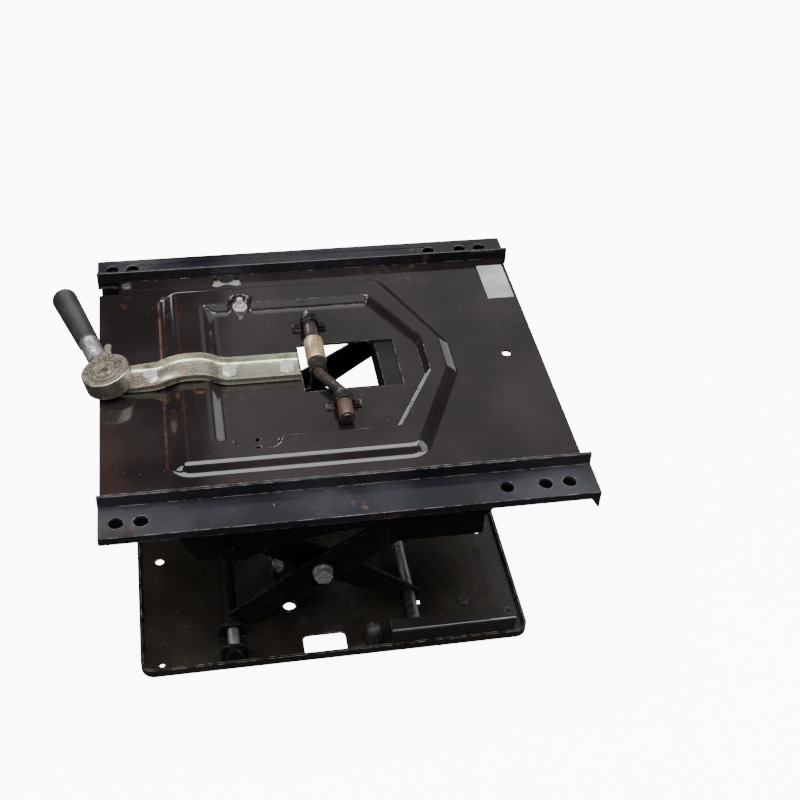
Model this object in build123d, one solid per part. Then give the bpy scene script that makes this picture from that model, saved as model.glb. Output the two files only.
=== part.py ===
from build123d import *
import math
import os

os.makedirs("parts", exist_ok=True)

# Mechanical scissor suspension base for a machine seat. Millimetres, +Z up.
# The origin is the centre of the floor tray's underside. -X is the front, where the
# ratchet handle is, +X the rear, -Y the near side and +Y the far side.

# Driving dimensions -------------------------------------------------------------
TRAY_LENGTH = 382.0
TRAY_WIDTH = 376.0
TRAY_SHEET = 2.5
TRAY_RIM = 9.0
PIVOT_X = -101.0
PIVOT_Z = 13.0
ROLLER_REACH = 180.0
LIFT = 125.0
PAN_LEVEL = 214.0
PAN_SHEET = 2.5
PAN_FRONT = -208.0
PAN_REAR = 225.6
PAN_HALF_WIDTH = 163.5
RIDGE_HEIGHT = 8.0
RAIL_FRONT = -209.6
RAIL_REAR = 230.4
RAIL_OUTER = 203.6
RAIL_SHEET = 3.0
RAIL_UPSTAND = 12.0
RAIL_LIP = {-1: 8.0, 1: 20.0}
RAIL_HOLE_Y = 186.5
RAIL_HOLES_X = (-194.3, -173.2, 147.8, 183.1, 205.1)
RAIL_HOLE_R = 6.5
RIVET = (-57.0, 181.0)
BASE_HOLE_X = 169.0
BASE_HOLE_Y = 42.0
BASE_HOLE_R = 4.5
AXLE_R = 6.0
RUNNING_GAP = 0.05
ARM_SHEET = 4.0
ARM_END_R = 14.0
ARM_FOOT_R = 10.0
ARM_WAIST_R = 19.0
ROLLER_R = 10.2
ROLLER_WIDTH = 9.0
STRAP_WIDTH = 34.0
STRAP_Y = -1.5
STRAP_SHEET = 3.0
STRAP_LIP = 5.0
SPINDLE_R = 6.0
SPINDLE_TILT = 12.0
RATCHET_Y = -9.5
RATCHET_R = 22.8
RATCHET_HEIGHT = 18.0
HANDLE_YAW = 17.5
DAMPER_REACH = 80.0
DAMPER_Y = 106.0

# Places worked out from them ----------------------------------------------------
AXIS_TOP = PIVOT_Z + LIFT
ROLLER_X = PIVOT_X + ROLLER_REACH
CENTRE_X = PIVOT_X + ROLLER_REACH / 2
CENTRE_Z = PIVOT_Z + LIFT / 2
ARM_HALF = math.hypot(ROLLER_REACH, LIFT) / 2
ARM_ANGLE = math.degrees(math.atan2(LIFT, ROLLER_REACH))
BORE_R = AXLE_R + RUNNING_GAP
A_NEAR = (-141.0, -137.0)
A_FAR = (125.0, 129.0)
B_NEAR = (-129.0, -125.0)
B_FAR = (137.0, 141.0)
UPPER_ROLLER_Y = 148.5
LOWER_ROLLER_Y = 176.5
SIDES = {"near": -1, "far": 1}


def block(x0, x1, y0, y1, z0, z1):
    """Box between two corners."""
    centre = Pos((x0 + x1) / 2, (y0 + y1) / 2, (z0 + z1) / 2)
    return centre * Box(abs(x1 - x0), abs(y1 - y0), abs(z1 - z0))


def rod_y(x, z, radius, y0, y1):
    """Cylinder along Y."""
    return Pos(x, (y0 + y1) / 2, z) * Rot(90, 0, 0) * Cylinder(radius, abs(y1 - y0))


def rod_z(x, y, radius, z0, z1):
    """Cylinder along Z."""
    return Pos(x, y, (z0 + z1) / 2) * Cylinder(radius, abs(z1 - z0))


def ring_y(x, z, outer, inner, y0, y1):
    """Tube along Y."""
    return rod_y(x, z, outer, y0, y1) - rod_y(x, z, inner, min(y0, y1) - 1, max(y0, y1) + 1)


def hex_z(x, y, flats, z0, z1):
    """Hexagonal bar along Z, measured across its flats."""
    section = RegularPolygon(flats / 2, 6, major_radius=False, rotation=30)
    return Pos(x, y, z0) * extrude(section, z1 - z0)


def hex_y(x, z, flats, y0, y1):
    """Hexagonal bar along Y, measured across its flats."""
    section = Plane.XZ * RegularPolygon(flats / 2, 6, major_radius=False)
    return Pos(x, max(y0, y1), z) * extrude(section, abs(y1 - y0))


def plate_xz(points, y0, y1, corner=0.0):
    """Flat plate standing in the XZ plane, with rounded corners."""
    face = Plane.XZ * make_face(Polyline(*points, close=True))
    solid = Pos(0, max(y0, y1), 0) * extrude(face, abs(y1 - y0))
    if corner:
        solid = fillet(solid.edges().filter_by(Axis.Y), corner)
    return solid


def group(parts):
    """Several separate solids as one sub-part."""
    return Compound(children=list(parts))


def save(name, shape):
    export_step(shape, f"parts/{name}.step")


# Floor tray ---------------------------------------------------------------------
RIM_INNER_Y = TRAY_WIDTH / 2 - TRAY_SHEET
CUTOUT = (-33.0, 9.0, 159.0)
SMALL_HOLE = (171.0, 176.0, 2.6)
GUIDE_SCREW = (135.0, 138.0)
FLOOR_BOLT = (-49.0, 65.5)
BUFFER = (36.0, 173.0)
BRACKET_HALF = 14.0


def base_tray():
    shell = block(-TRAY_LENGTH / 2, TRAY_LENGTH / 2, -TRAY_WIDTH / 2, TRAY_WIDTH / 2, 0, TRAY_RIM)
    shell = fillet(shell.edges().filter_by(Axis.Z), 13)
    inner_x = TRAY_LENGTH / 2 - TRAY_SHEET
    cavity = block(-inner_x, inner_x, -RIM_INNER_Y, RIM_INNER_Y, TRAY_SHEET, TRAY_RIM + 1)
    shell -= fillet(cavity.edges().filter_by(Axis.Z), 10.5)
    for side in SIDES.values():
        x0, x1, y0 = CUTOUT
        cut = block(x0, x1, side * y0, side * (RIM_INNER_Y - 2), -1, TRAY_SHEET + 1)
        shell -= fillet(cut.edges().filter_by(Axis.Z), 5)
        for end in (-1, 1):
            shell -= rod_z(end * BASE_HOLE_X, side * BASE_HOLE_Y, BASE_HOLE_R, -1, 4)
            shell -= rod_z(end * SMALL_HOLE[0], side * SMALL_HOLE[1], SMALL_HOLE[2], -1, 4)
        shell -= block(81.5, 90.5, side * 128.5, side * 134.5, -1, 4)
        shell += rod_z(-42, side * 120, 8.5, TRAY_SHEET, 5)
        shell -= rod_z(-42, side * 120, 6.5, -1, 6)
        shell -= rod_z(FLOOR_BOLT[0], side * FLOOR_BOLT[1], 4.05, -1, 4)
        shell -= rod_z(GUIDE_SCREW[0], side * GUIDE_SCREW[1], 2.55, -1, 4)
    return shell


def lower_guide(side):
    """Angle track on the tray; the roller runs on the floor under its top flange."""
    wall = block(52, 177, side * 182, side * RIM_INNER_Y, TRAY_SHEET, 27)
    flange = block(52, 177, side * 170.5, side * RIM_INNER_Y, 24, 27)
    track = wall + flange
    outer_edge = track.edges().filter_by(Axis.X).sort_by(Axis.Z)[-2:]
    outer_edge = outer_edge.sort_by(Axis.Y)[0 if side < 0 else -1]
    track = fillet(outer_edge, 2.8)
    return track - rod_z(170, side * 176, 2.5, 20, 30)


def lower_bracket(side):
    """Two-eared bracket welded to the tray that carries the front pivot axle."""
    x0, x1 = PIVOT_X - BRACKET_HALF, PIVOT_X + BRACKET_HALF
    foot = block(x0, x1, side * 150, side * 179, TRAY_SHEET, 4.5)
    ears = []
    for inner, outer in ((150, 153), (176, 179)):
        ear = block(x0, x1, side * inner, side * outer, TRAY_SHEET, 23)
        top = ear.edges().filter_by(Axis.Y).sort_by(Axis.Z)[-2:]
        ears.append(fillet(top, 8))
    bracket = foot + ears[0] + ears[1]
    return bracket - rod_y(PIVOT_X, PIVOT_Z, AXLE_R, side * 148, side * 181)


def lower_pivot_axle():
    return rod_y(PIVOT_X, PIVOT_Z, AXLE_R, -180.5, 180.5)


def lower_axle_nuts():
    nuts = []
    for side in SIDES.values():
        nut = hex_y(PIVOT_X, PIVOT_Z, 15, side * 179, side * 184.6)
        nuts.append(nut - rod_y(PIVOT_X, PIVOT_Z, AXLE_R, side * 178, side * 180.5))
    return group(nuts)


def track_buffers():
    """Rubber domes in front of the roller tracks."""
    domes = []
    for side in SIDES.values():
        body = rod_z(BUFFER[0], side * BUFFER[1], 8, TRAY_SHEET, 24)
        domes.append(fillet(body.edges().sort_by(Axis.Z)[-1], 7))
    return group(domes)


def floor_fasteners():
    """Hex bolts and cross-head screws in the tray floor."""
    items = []
    for side in SIDES.values():
        x, y = FLOOR_BOLT[0], side * FLOOR_BOLT[1]
        items.append(rod_z(x, y, 4, 0.3, TRAY_SHEET) + hex_z(x, y, 13, TRAY_SHEET, 8))
        x, y = GUIDE_SCREW[0], side * GUIDE_SCREW[1]
        head = rod_z(x, y, 5.2, TRAY_SHEET, 5.6)
        head = fillet(head.edges().sort_by(Axis.Z)[-1], 1.5)
        head -= block(x - 2.6, x + 2.6, y - 0.5, y + 0.5, 4.4, 6)
        head -= block(x - 0.5, x + 0.5, y - 2.6, y + 2.6, 4.4, 6)
        items.append(head + rod_z(x, y, 2.5, 0.3, TRAY_SHEET))
    return group(items)


# Scissor arms -------------------------------------------------------------------
def arm_plate(slope, y0, y1, bores):
    """Arm between two pivots, widest at its middle. slope is +1 if it rises to the rear."""
    foot, head = slope * -ARM_HALF, slope * ARM_HALF
    outline = Polyline(
        (foot, -ARM_FOOT_R),
        (0, -ARM_WAIST_R),
        (head, -ARM_END_R),
        (head, ARM_END_R),
        (0, ARM_WAIST_R),
        (foot, ARM_FOOT_R),
        close=True,
    )
    section = make_face(outline) + Circle(ARM_WAIST_R)
    section += Pos(foot, 0) * Circle(ARM_FOOT_R) + Pos(head, 0) * Circle(ARM_END_R)
    section = Plane.XZ * section
    plate = Pos(0, abs(y1 - y0) / 2, 0) * extrude(section, abs(y1 - y0))
    for along, radius in bores:
        plate -= rod_y(along, 0, radius, -10, 10)
    return Pos(CENTRE_X, (y0 + y1) / 2, CENTRE_Z) * Rot(0, -slope * ARM_ANGLE, 0) * plate


CENTRE_BOLT_R = 5.0
PIN_R = 5.0
TUBE_R = 8.6
FRONT_TUBE_HALF = 149.4
WEB_END = 56.0
WEB_FAR_EDGE = 90.0


def arm_a_plate(y0, y1, damper=False):
    bores = [(-ARM_HALF, TUBE_R), (ARM_HALF, AXLE_R), (0, CENTRE_BOLT_R)]
    if damper:
        bores.append((-DAMPER_REACH, PIN_R))
    return arm_plate(1, y0, y1, bores)


def arm_b_plate(y0, y1, damper=False):
    bores = [(-ARM_HALF, TUBE_R), (ARM_HALF, AXLE_R), (0, CENTRE_BOLT_R + RUNNING_GAP)]
    if damper:
        bores.append((DAMPER_REACH, PIN_R))
    return arm_plate(-1, y0, y1, bores)


def front_tube(z, half):
    """Hub tube welded through the arm plates, turning on its through-axle."""
    return ring_y(PIVOT_X, z, TUBE_R, BORE_R, -half, half)


def cross_web(slope, y0, y1):
    """Gusset plate welded along the hub tube and to the arm's near plate."""
    length = ARM_HALF - WEB_END - TUBE_R
    bar = Pos(-WEB_END - length / 2, (y0 + y1) / 2, 0) * Box(length, y1 - y0, 3)
    return Pos(CENTRE_X, 0, CENTRE_Z) * Rot(0, -slope * ARM_ANGLE, 0) * bar


def centre_bolts():
    """Bolt, washers and spacer at each centre pivot; they turn with arm A."""
    near = rod_y(CENTRE_X, CENTRE_Z, CENTRE_BOLT_R, -141, -121)
    near += rod_y(CENTRE_X, CENTRE_Z, 10, -141, -143.4)
    near += hex_y(CENTRE_X, CENTRE_Z, 16, -143.4, -150.5)
    near += ring_y(CENTRE_X, CENTRE_Z, 9, 4, -136.9, -129.3)
    near += rod_y(CENTRE_X, CENTRE_Z, 9, -124.7, -119.5)
    far = rod_y(CENTRE_X, CENTRE_Z, CENTRE_BOLT_R, 125, 141.4)
    far += rod_y(CENTRE_X, CENTRE_Z, 10, 141.4, 143.8)
    far += hex_y(CENTRE_X, CENTRE_Z, 16, 143.8, 149)
    far += ring_y(CENTRE_X, CENTRE_Z, 9, 4, 129.1, 136.7)
    far += rod_y(CENTRE_X, CENTRE_Z, 9, 119.5, 125)
    return group([near, far])


def roller_axle(x, z, half):
    """Through-axle with a retaining collar outside each roller."""
    axle = rod_y(x, z, AXLE_R, -half, half)
    for side in SIDES.values():
        axle += rod_y(x, z, 8, side * (half - 12.6), side * (half - 10.6))
    return axle


def roller(x, z, y):
    wheel = rod_y(x, z, ROLLER_R, y - ROLLER_WIDTH / 2, y + ROLLER_WIDTH / 2)
    wheel = fillet(wheel.edges().filter_by(GeomType.CIRCLE), 1.2)
    return wheel - rod_y(x, z, BORE_R, y - 10, y + 10)


def pin_place(slope):
    """Damper pin centre on an arm's lower half."""
    angle = math.radians(ARM_ANGLE)
    x = CENTRE_X - slope * DAMPER_REACH * math.cos(angle)
    return x, CENTRE_Z - DAMPER_REACH * math.sin(angle)


def damper_pin(slope, root_y):
    x, z = pin_place(slope)
    pin = rod_y(x, z, PIN_R, DAMPER_Y - 9, root_y)
    return pin + rod_y(x, z, 7, DAMPER_Y - 9, DAMPER_Y - 11)


# Damper -------------------------------------------------------------------------
DAMPER_R = 12.0
DAMPER_BORE_R = 5.5
DAMPER_ROD_R = 5.0
OPEN_EYE_R = 7.8


def damper_cylinder():
    x, z = pin_place(1)
    tube = Pos(x + 51, DAMPER_Y, z) * Rot(0, 90, 0) * Cylinder(DAMPER_R, 74)
    tube = fillet(tube.edges().filter_by(GeomType.CIRCLE), 2)
    neck = Pos(x + 12, DAMPER_Y, z) * Rot(0, 90, 0) * Cylinder(5, 12)
    eye = rod_y(x, z, 11, DAMPER_Y - 7, DAMPER_Y + 7)
    body = tube + neck + eye
    body -= Pos(x + 60, DAMPER_Y, z) * Rot(0, 90, 0) * Cylinder(DAMPER_BORE_R, 80)
    return body - rod_y(x, z, PIN_R + RUNNING_GAP, DAMPER_Y - 9, DAMPER_Y + 9)


def damper_rod():
    x, z = pin_place(-1)
    start = pin_place(1)[0] + 28
    rod = Pos((start + x - 10) / 2, DAMPER_Y, z) * Rot(0, 90, 0) * Cylinder(DAMPER_ROD_R, x - 10 - start)
    eye = rod_y(x, z, 12, DAMPER_Y - 7, DAMPER_Y + 7)
    return rod + eye - rod_y(x, z, OPEN_EYE_R, DAMPER_Y - 9, DAMPER_Y + 9)


# Upper frame --------------------------------------------------------------------
PAN_UNDER = PAN_LEVEL - PAN_SHEET
RIDGE_FRONT = -149.0
RIDGE_SIDE = 139.0
RIDGE_SHOULDER = 84.0
RIDGE_REAR = 137.0
RIDGE_REAR_Y = 33.0
WELL_FRONT = -107.0
WELL_SIDE = 103.0
WELL_SHOULDER = 66.0
WELL_REAR = 109.0
WELL_REAR_Y = 28.0
WINDOW = (-15.0, 81.0, 35.7)
STUD_X = -179.5
NOTCH_Y = 141.5
STUD_Y = 147.5
SPINDLE_X = -196.0


def shoulder_outline(front, side, shoulder, rear, rear_y, inset, front_inset):
    """Outline with a square front and a chamfered rear, drawn in by inset."""
    lean = inset * 0.6
    points = [
        (front + front_inset, -(side - inset)),
        (shoulder - lean, -(side - inset)),
        (rear - inset, -(rear_y - lean)),
        (rear - inset, rear_y - lean),
        (shoulder - lean, side - inset),
        (front + front_inset, side - inset),
    ]
    return make_face(Polyline(*points, close=True))


def pressed_surface():
    """Everything below the pan's top face: flat sheet, raised ridge, sunken well."""
    field = block(PAN_FRONT, PAN_REAR, -PAN_HALF_WIDTH, PAN_HALF_WIDTH, PAN_LEVEL - 30, PAN_LEVEL)
    ridge = (RIDGE_FRONT, RIDGE_SIDE, RIDGE_SHOULDER, RIDGE_REAR, RIDGE_REAR_Y)
    foot = Pos(0, 0, PAN_LEVEL) * shoulder_outline(*ridge, 0, 0)
    crown = Pos(0, 0, PAN_LEVEL + RIDGE_HEIGHT) * shoulder_outline(*ridge, 7, 16)
    field += loft([foot, crown], ruled=True)
    well = (WELL_FRONT, WELL_SIDE, WELL_SHOULDER, WELL_REAR, WELL_REAR_Y)
    floor = Pos(0, 0, PAN_LEVEL) * shoulder_outline(*well, 5, 15.4)
    mouth = Pos(0, 0, PAN_LEVEL + RIDGE_HEIGHT) * shoulder_outline(*well, 0, 0)
    field -= loft([floor, mouth], ruled=True)
    tab = block(-79, -53, -117, -90, PAN_LEVEL, PAN_LEVEL + 20)
    field -= fillet(tab.edges().filter_by(Axis.Z), 10)
    field -= rod_z(-66, 104, 12, PAN_LEVEL, PAN_LEVEL + 20)
    return field


def top_pan():
    field = pressed_surface()
    pan = field - Pos(0, 0, -PAN_SHEET) * field
    x0, x1, half = WINDOW
    opening = block(x0, x1, -half, half, PAN_UNDER - 5, PAN_LEVEL + 5)
    pan -= opening
    pan -= block(PAN_FRONT - 1, STUD_X - 8, NOTCH_Y, PAN_HALF_WIDTH + 1, 190, 230)
    pan -= rod_z(192, 0, 4.5, 190, 230)
    pan -= SPINDLE_FRAME * Cylinder(9, 40)
    for y in (-97.5, -108.0):
        pan -= rod_z(-66, y, 2.5, 190, 230)
    for x in (-87.0, -66.0):
        pan += rod_z(x, 151.5, 6, PAN_LEVEL, PAN_LEVEL + 2.2)
    pan += block(-87, -66, 149, 154, PAN_LEVEL, PAN_LEVEL + 1.2)
    pan -= rod_z(-87, 151.5, 2.5, 212.7, 230) + rod_z(-66, 151.5, 2.5, 212.7, 230)
    for x in STRAP_BOLTS_X:
        pan -= rod_z(x, STRAP_Y, 4.05, 190, 240)
    pan -= rod_z(-66, 104, 3.05, 190, 230)
    pan -= rod_z(STUD_X, STUD_Y, 4.05, 190, 230)
    for side in SIDES.values():
        for x in ROD_SEATS_X[side]:
            pan -= rod_z(x, side * ROD_SEAT_Y[side], 2.05, 190, 230)
    return pan


def rail(side):
    """Z-section seat rail: upstand inside, flange with five holes, lip outside."""
    inner = PAN_HALF_WIDTH
    upstand = block(RAIL_FRONT, RAIL_REAR, side * inner, side * (inner + 3), 206, PAN_LEVEL + RAIL_UPSTAND)
    flange = block(RAIL_FRONT, RAIL_REAR, side * inner, side * RAIL_OUTER, PAN_LEVEL - RAIL_SHEET, PAN_LEVEL)
    lip_inner = RAIL_OUTER - RAIL_SHEET
    lip_bottom = PAN_LEVEL - RAIL_LIP[side]
    lip = block(RAIL_FRONT, RAIL_REAR, side * lip_inner, side * RAIL_OUTER, lip_bottom, PAN_LEVEL)
    profile = upstand + flange + lip
    for x in RAIL_HOLES_X:
        profile -= rod_z(x, side * RAIL_HOLE_Y, RAIL_HOLE_R, 190, 230)
    if side < 0:
        tab = ((RAIL_REAR - 9, lip_bottom + 1), (RAIL_REAR, lip_bottom + 1), (RAIL_REAR, lip_bottom - 13))
        profile += plate_xz(tab, side * lip_inner, side * RAIL_OUTER)
        profile += rod_z(RIVET[0], side * RIVET[1], 3, PAN_LEVEL, PAN_LEVEL + 1)
    return profile


def side_plate(side):
    """Hanging side plate of the upper frame, with the upper pivot and roller track."""
    points = (
        (-206, PAN_UNDER),
        (-206, 180),
        (-152, 174),
        (-128, 126),
        (-86, 122),
        (-55, 140),
        (30, 151.5),
        (140, 151.5),
        (156, 172),
        (226, 178),
        (226, PAN_UNDER),
    )
    plate = plate_xz(points, side * 157, side * 160)
    lower = [e for e in plate.edges().filter_by(Axis.Y) if e.center().Z < 200]
    plate = fillet(lower, 8)
    return plate - rod_y(PIVOT_X, AXIS_TOP, AXLE_R, side * 150, side * 165)


def upper_guide(side):
    """Channel that the upper roller runs in, fixed inside the side plate."""
    web = block(48, 140, side * 154, side * 157, 124.5, 151.5)
    top = block(48, 140, side * 143.5, side * 157, 148.5, 151.5)
    keeper = block(48, 140, side * 149, side * 157, 124.5, 127)
    return web + top + keeper


def upper_pivot_axle():
    return rod_y(PIVOT_X, AXIS_TOP, AXLE_R, -161.5, 161.5)


def upper_axle_nuts():
    nuts = []
    for side in SIDES.values():
        nut = hex_y(PIVOT_X, AXIS_TOP, 17, side * 160, side * 166)
        nuts.append(nut - rod_y(PIVOT_X, AXIS_TOP, AXLE_R, side * 158, side * 161.5))
    return group(nuts)


def cross_channel():
    """Folded stiffener under the rear of the window, between the side plates."""
    top = block(63, 103, -157, 157, PAN_UNDER - 2, PAN_UNDER)
    front = block(63, 65, -157, 157, 186, PAN_UNDER)
    rear = block(101, 103, -157, 157, 186, PAN_UNDER)
    return top + front + rear


SPINDLE_FRAME = Pos(SPINDLE_X, RATCHET_Y, PAN_LEVEL + STRAP_SHEET) * Rot(0, -SPINDLE_TILT, 0)


# Adjuster bracket strap ---------------------------------------------------------
STRAP_FRONT = -208.0
STRAP_REAR = -17.0
LIP_FRONT = -170.0
STRAP_BOLTS_X = (-159.5, -84.5, -29.0)
STRAP_BRIDGE = (-152.0, -134.0, -106.5, -91.2)


def strap_run(z_low, z_high):
    """Side outline of the strap between two heights above the pan, over the ridge."""
    x1, x2, x3, x4 = STRAP_BRIDGE
    rise = RIDGE_HEIGHT + 0.4
    bottom = [(STRAP_FRONT, z_low), (x1, z_low), (x2, z_low + rise), (x3, z_low + rise)]
    bottom += [(x4, z_low), (STRAP_REAR, z_low)]
    top = [(STRAP_REAR, z_high), (x4, z_high), (x3, z_high + rise), (x2, z_high + rise)]
    top += [(x1, z_high), (STRAP_FRONT, z_high)]
    return [(x, PAN_LEVEL + z) for x, z in bottom + top]


def strap_channel():
    half = STRAP_WIDTH / 2
    strap = plate_xz(strap_run(0, STRAP_SHEET), STRAP_Y - half, STRAP_Y + half)
    for side in SIDES.values():
        inner, outer = STRAP_Y + side * (half - 2.5), STRAP_Y + side * half
        lip = plate_xz(strap_run(0, STRAP_SHEET + STRAP_LIP), inner, outer)
        strap += lip - block(STRAP_FRONT - 1, LIP_FRONT, -30, 30, PAN_LEVEL + STRAP_SHEET, 240)
    seat = SPINDLE_FRAME * Pos(0, 0, -0.55) * Cylinder(8, 5)
    strap += seat - block(-250, -150, -30, 30, 190, PAN_LEVEL)
    for x in STRAP_BOLTS_X:
        strap -= rod_z(x, STRAP_Y, 4.05, 200, 240)
    return strap - SPINDLE_FRAME * Cylinder(SPINDLE_R + RUNNING_GAP, 40)


def strap_bolts():
    bolts = []
    seat = PAN_LEVEL + STRAP_SHEET
    for x in STRAP_BOLTS_X:
        bolt = rod_z(x, STRAP_Y, 4, PAN_UNDER - 8, seat) + hex_z(x, STRAP_Y, 13, seat, seat + 5.3)
        bolts.append(bolt + hex_z(x, STRAP_Y, 13, PAN_UNDER - 6.5, PAN_UNDER))
    return group(bolts)


# Cross rod over the window ------------------------------------------------------
ROD_R = 5.5
ROD_Z = PAN_LEVEL + 7.5
ROD_X = 0.5
CRANK_X = 18.5
ROD_SEAT_Y = {-1: 60.0, 1: 62.0}
ROD_SEATS_X = {-1: (CRANK_X - 12.5, CRANK_X + 12.5), 1: (ROD_X - 12.5, ROD_X + 12.5)}
BUSH_Y = (-2.0, 30.0)
HUB_Y = (-15.5, -3.5)
SHANK_R = 7.0
ROD_END = 74.0


def cross_rod():
    """Cranked round bar; its offset end sits towards the rear on the near side."""
    path = Polyline((ROD_X, 60, ROD_Z), (ROD_X, -19, ROD_Z), (CRANK_X, -49, ROD_Z), (CRANK_X, -88, ROD_Z))
    path = fillet(path.vertices().sort_by(Axis.Y)[1:3], 9)
    section = Plane(origin=(ROD_X, 60, ROD_Z), z_dir=(0, -1, 0)) * Circle(ROD_R)
    return sweep(section, path=path) + rod_y(ROD_X, ROD_Z, SHANK_R, 0.5, ROD_END)


def brass_bush():
    bush = ring_y(ROD_X, ROD_Z, 9.8, SHANK_R, 0.5, BUSH_Y[1])
    return bush + ring_y(ROD_X, ROD_Z, 9.8, 6.6, BUSH_Y[0], 0.5)


def rod_sleeve():
    return ring_y(CRANK_X, ROD_Z, 7.4, ROD_R, -86, -51)


def rod_clips():
    """Bent clips that hold the cross rod down on the pan, screwed at both feet."""
    clips = []
    for side in SIDES.values():
        x = (ROD_SEATS_X[side][0] + ROD_SEATS_X[side][1]) / 2
        y = side * ROD_SEAT_Y[side]
        inner = 7.4 if side < 0 else SHANK_R
        arch = rod_y(x, ROD_Z, inner + 2, y - 5, y + 5)
        arch += block(x - inner - 2, x + inner + 2, y - 5, y + 5, PAN_LEVEL, ROD_Z)
        arch -= block(x - 20, x + 20, y - 6, y + 6, 200, PAN_LEVEL)
        arch += block(x - 17, x + 17, y - 5, y + 5, PAN_LEVEL, PAN_LEVEL + 2)
        arch -= rod_y(x, ROD_Z, inner, y - 6, y + 6)
        for foot in ROD_SEATS_X[side]:
            arch += rod_z(foot, y, 2, PAN_UNDER, PAN_LEVEL + 2)
            arch += rod_z(foot, y, 3.6, PAN_LEVEL + 2, PAN_LEVEL + 4)
        clips.append(arch)
    return group(clips)


# Small parts on the pan ---------------------------------------------------------
def ridge_bolt():
    """Stud and washer in the round pocket of the ridge."""
    bolt = rod_z(-66, 104, 3, PAN_UNDER - 8, PAN_LEVEL + 12)
    bolt += rod_z(-66, 104, 7.5, PAN_LEVEL, PAN_LEVEL + 2)
    return bolt + hex_z(-66, 104, 9, PAN_LEVEL + 2, PAN_LEVEL + 6)


def corner_stud():
    """Black rubber-capped stud that locates the pan's far front corner."""
    cap = rod_z(STUD_X, STUD_Y, 5.6, PAN_LEVEL, PAN_LEVEL + 7)
    cap = fillet(cap.edges().sort_by(Axis.Z)[-1], 2.5)
    return cap + rod_z(STUD_X, STUD_Y, 4, PAN_UNDER - 4, PAN_LEVEL)


def label_plate():
    return block(194, 222, 91.5, 150.5, PAN_LEVEL, PAN_LEVEL + 0.6)


# Ratchet adjuster ---------------------------------------------------------------
HEAD_LIFT = 3.6
PAWL_PIVOT = (3.5, 19.3)
GRIP_LENGTH = 91.0
HANDLE = SPINDLE_FRAME * Pos(0, 0, HEAD_LIFT + 9.5) * Rot(0, 0, 90 + HANDLE_YAW)


def ratchet_head():
    """Round ratchet housing with a cavity for its toothed wheel."""
    body = Pos(0, 0, HEAD_LIFT + RATCHET_HEIGHT / 2) * Cylinder(RATCHET_R, RATCHET_HEIGHT)
    body = fillet(body.edges().filter_by(GeomType.CIRCLE), 1.2)
    top = HEAD_LIFT + RATCHET_HEIGHT
    body -= Pos(0, 0, top) * (Cylinder(17.0, 2.4) - Cylinder(15.4, 5))
    body -= Pos(0, 0, top) * (Cylinder(13.4, 3.0) - Cylinder(9.6, 5))
    body -= Pos(0, 0, HEAD_LIFT + 7.5) * Cylinder(16, 11)
    body -= Pos(0, 0, HEAD_LIFT + 9) * Cylinder(7 + RUNNING_GAP, 30)
    body = SPINDLE_FRAME * body
    socket = HANDLE * Pos(26, 0, 0) * Rot(0, 90, 0) * Cylinder(7.5, 10)
    body += socket - SPINDLE_FRAME * Pos(0, 0, HEAD_LIFT + 7.5) * Cylinder(18.5, 13)
    pawl_bore = SPINDLE_FRAME * Pos(*PAWL_PIVOT, top - 2) * Cylinder(2.05, 8)
    return body - pawl_bore


def ratchet_wheel():
    """Toothed wheel keyed to the spindle, inside the housing."""
    wheel = Circle(13.2) - Circle(SPINDLE_R)
    for i in range(18):
        wheel += PolarLocations(13.6, 1, start_angle=i * 20) * RegularPolygon(1.6, 3)
    return SPINDLE_FRAME * Pos(0, 0, HEAD_LIFT + 3) * extrude(wheel, 8)


def spindle():
    """Threaded spindle with a collar on the strap and a hexagon end."""
    bar = Pos(0, 0, -29.5) * Cylinder(SPINDLE_R, 91)
    bar += Pos(0, 0, 2.75) * Cylinder(7.8, 0.9)
    bar += Pos(0, 0, HEAD_LIFT + RATCHET_HEIGHT - 3.5) * Cylinder(7, 7)
    bar = SPINDLE_FRAME * bar
    socket = SPINDLE_FRAME * Pos(0, 0, HEAD_LIFT + RATCHET_HEIGHT - 2) * extrude(RegularPolygon(3, 6), 4)
    return bar - socket


def handle_sleeve():
    """Steel socket tube between the ratchet head and the grip."""
    tube = HANDLE * Pos(44, 0, 0) * Rot(0, 90, 0) * Cylinder(9.6, 34)
    tube -= HANDLE * Pos(26, 0, 0) * Rot(0, 90, 0) * Cylinder(7.5, 10)
    stem = HANDLE * Pos(90, 0, 0) * Rot(0, 90, 0) * Cylinder(5, 60)
    bore = HANDLE * Pos(36, 0, 9) * Cylinder(3.4, 5)
    return tube + stem - bore


def detent_button():
    return HANDLE * Pos(36, 0, 8.2) * fillet(Cylinder(3.4, 3.4).edges().sort_by(Axis.Z)[-1], 1.2)


def grip():
    """Black tapered handgrip with a domed end, bored for its stem."""
    body = Cone(10.6, 12.9, GRIP_LENGTH)
    body = fillet(body.edges().sort_by(Axis.Z)[-1], 8)
    body = HANDLE * Pos(61.2 + GRIP_LENGTH / 2, 0, 0) * Rot(0, 90, 0) * body
    return body - HANDLE * Pos(90, 0, 0) * Rot(0, 90, 0) * Cylinder(5, 60)


def pawl_selector():
    """Small direction lever on top of the ratchet head."""
    top = HEAD_LIFT + RATCHET_HEIGHT + 2
    lever = Pos(*PAWL_PIVOT, top) * Cylinder(4.2, 3.4)
    lever += Pos(PAWL_PIVOT[0] + 0.8, PAWL_PIVOT[1] + 5, top) * Box(5, 10, 3.4)
    lever += Pos(PAWL_PIVOT[0] + 0.8, PAWL_PIVOT[1] + 10, top) * Cylinder(3.4, 3.4)
    stem = Pos(*PAWL_PIVOT, top - 4) * Cylinder(2.0, 7)
    return SPINDLE_FRAME * (lever + stem)


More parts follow.
